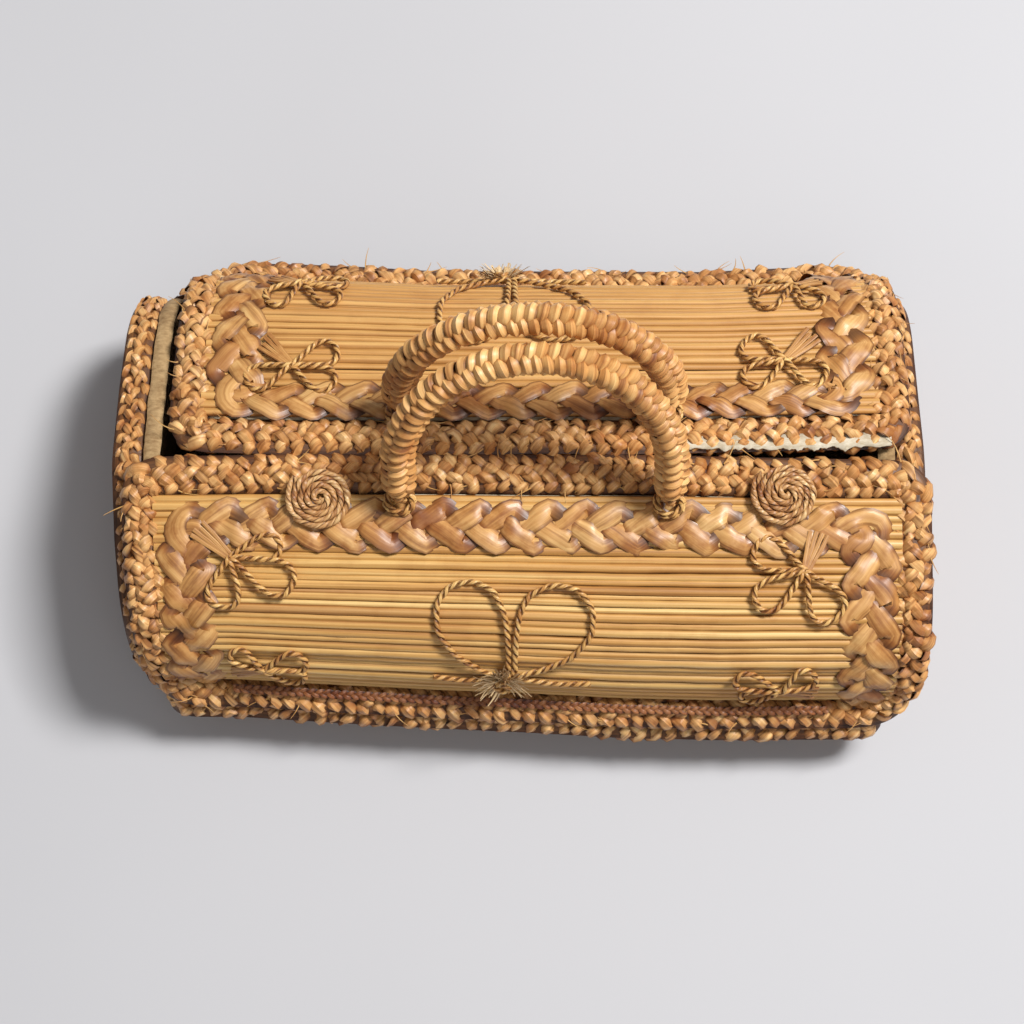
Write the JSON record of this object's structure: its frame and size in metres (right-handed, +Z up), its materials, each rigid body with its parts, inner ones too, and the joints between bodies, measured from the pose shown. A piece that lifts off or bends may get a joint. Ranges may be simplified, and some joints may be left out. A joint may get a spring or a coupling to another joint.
{
  "type": "straw handbag",
  "caption": "Rounded handbag of straws with plaited rims, a fixed front cover, a hinged back cover and two bow handles.",
  "frame": {"origin": "on the table, under the middle of the mouth between the two covers", "axes": "+X along the bag's length, -Y towards the front cover, +Z up"},
  "size_m": [0.248, 0.1568, 0.1287],
  "materials": {
    "straw": "whole straw, glossy, gold to amber",
    "card": "plain pasteboard",
    "lining": "beige-grey felted cotton",
    "flat_plait": "folded flat straw, satin",
    "rim_plait": "close plaited straw, satin",
    "handle_plait": "round plaited straw, satin",
    "cord": "two straws twisted together",
    "rosette": "coiled straw plait"
  },
  "bodies": {
    "case": {"bottom_board": "card", "bottom_lining": "lining", "bottom_rim_plait": "rim_plait", "bottom_skin": "straw", "front_board": "card", "front_border_plait": "flat_plait", "front_foot_rings": "handle_plait", "front_heart_cord": "cord", "front_heart_knot": "cord", "front_hem_plait": "flat_plait", "front_left_flower": "cord", "front_lining": "lining", "front_low_left_flower": "cord", "front_low_right_flower": "cord", "front_right_flower": "cord", "front_rim_plait": "rim_plait", "front_straws": "straw", "hinge_cord": "cord", "left_end_board": "card", "left_end_lining": "lining", "left_end_rim_plait": "rim_plait", "left_end_straws": "straw", "left_rosette": "rosette", "right_end_board": "card", "right_end_lining": "lining", "right_end_rim_plait": "rim_plait", "right_end_straws": "straw", "right_rosette": "rosette"},
    "back_cover": {"back_board": "card", "back_border_plait": "flat_plait", "back_foot_rings": "handle_plait", "back_heart_cord": "cord", "back_heart_knot": "cord", "back_left_flower": "cord", "back_lining": "lining", "back_low_left_flower": "cord", "back_low_right_flower": "cord", "back_right_flower": "cord", "back_rim_plait": "rim_plait", "back_straws": "straw"},
    "front_handle": {"front_handle_core": "cord", "front_handle_plait": "handle_plait"},
    "back_handle": {"back_handle_core": "cord", "back_handle_plait": "handle_plait"}
  },
  "joints": [
    {"name": "back_cover_hinge", "type": "hinge", "parent": "case", "child": "back_cover", "pos_m": [0, 0.0766, 0.02585], "axis": [-1, 0, 0], "range_deg": [0, 100]},
    {"name": "front_handle_swing", "type": "hinge", "parent": "case", "child": "front_handle", "pos_m": [0.0035, -0.01616, 0.07497], "axis": [1, 0, 0], "range_deg": [0, 110]},
    {"name": "back_handle_swing", "type": "hinge", "parent": "back_cover", "child": "back_handle", "pos_m": [0.0035, 0.01327, 0.07558], "axis": [-1, 0, 0], "range_deg": [0, 65]}
  ]
}
